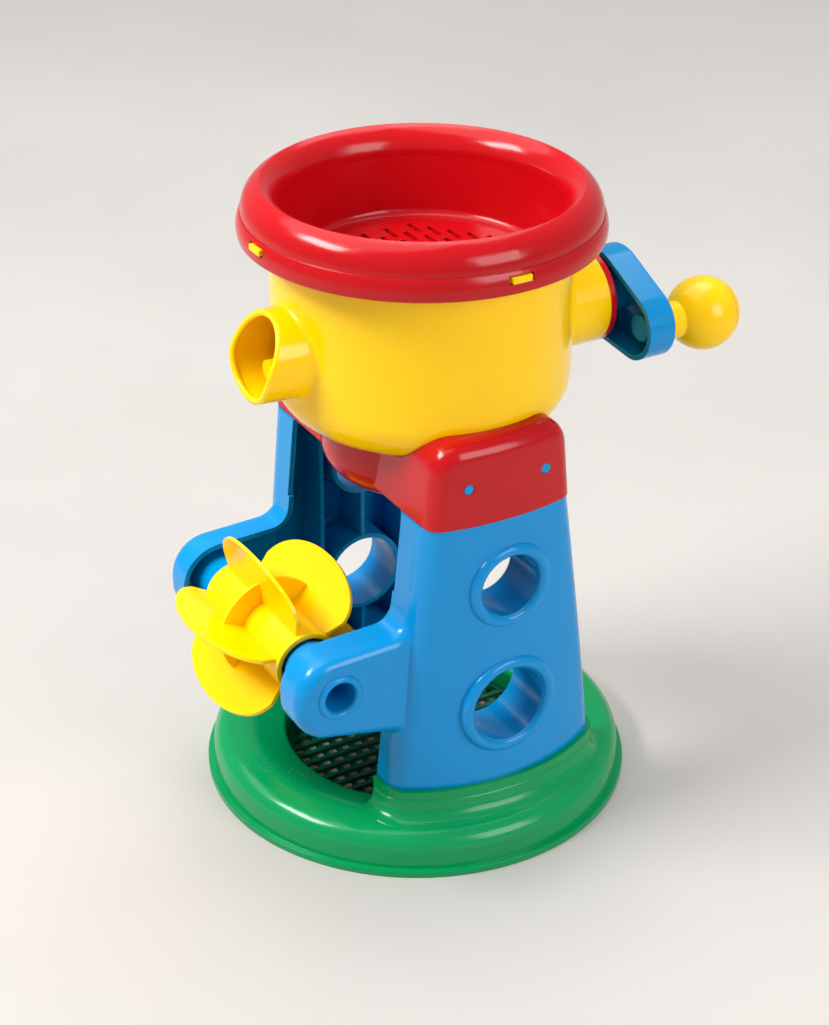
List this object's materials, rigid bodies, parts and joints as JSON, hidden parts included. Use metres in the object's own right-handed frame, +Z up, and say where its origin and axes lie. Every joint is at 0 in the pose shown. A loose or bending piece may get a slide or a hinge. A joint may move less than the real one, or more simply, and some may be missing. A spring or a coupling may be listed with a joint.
{
  "type": "toy sand mill",
  "caption": "Toy sand and water mill: sieve hopper on a drum with a hand-cranked screw feed and spout, pierced legs on a round base, and a paddle wheel under the spout.",
  "frame": {"origin": "middle of the round base, on the ground", "axes": "+Z up; -Y towards the spout and the paddle wheel, +Y towards the crank; X along the wheel's axle"},
  "size_m": [0.2, 0.266, 0.2932],
  "materials": {
    "red_plastic": "gloss",
    "yellow_plastic": "gloss",
    "blue_plastic": "gloss",
    "green_plastic": "gloss",
    "dark_green_plastic": "satin",
    "screw_steel": "zinc plated"
  },
  "bodies": {
    "mill": {"base": "green_plastic", "base_grille": "dark_green_plastic", "leg_right": "blue_plastic", "leg_left": "blue_plastic", "saddle": "red_plastic", "drum": "yellow_plastic", "hopper": "red_plastic", "bearing_cap": "red_plastic", "base_screws": "screw_steel", "drum_screws": "screw_steel"},
    "crank": {"feed_screw": "yellow_plastic", "crank_arm": "blue_plastic", "crank_screw": "screw_steel", "knob_pin": "yellow_plastic"},
    "knob": {"knob_ball": "yellow_plastic", "knob_cap": "yellow_plastic"},
    "wheel": {"paddle_wheel": "yellow_plastic"}
  },
  "joints": [
    {"name": "crank_turn", "type": "hinge", "parent": "mill", "child": "crank", "pos_m": [0, 0, 0.221], "axis": [0, 1, 0], "continuous": true},
    {"name": "knob_spin", "type": "hinge", "parent": "crank", "child": "knob", "pos_m": [0.03, 0.13, 0.214], "axis": [0, 1, 0], "continuous": true},
    {"name": "wheel_spin", "type": "hinge", "parent": "mill", "child": "wheel", "pos_m": [0, -0.0762, 0.0938], "axis": [1, 0, 0], "continuous": true}
  ]
}
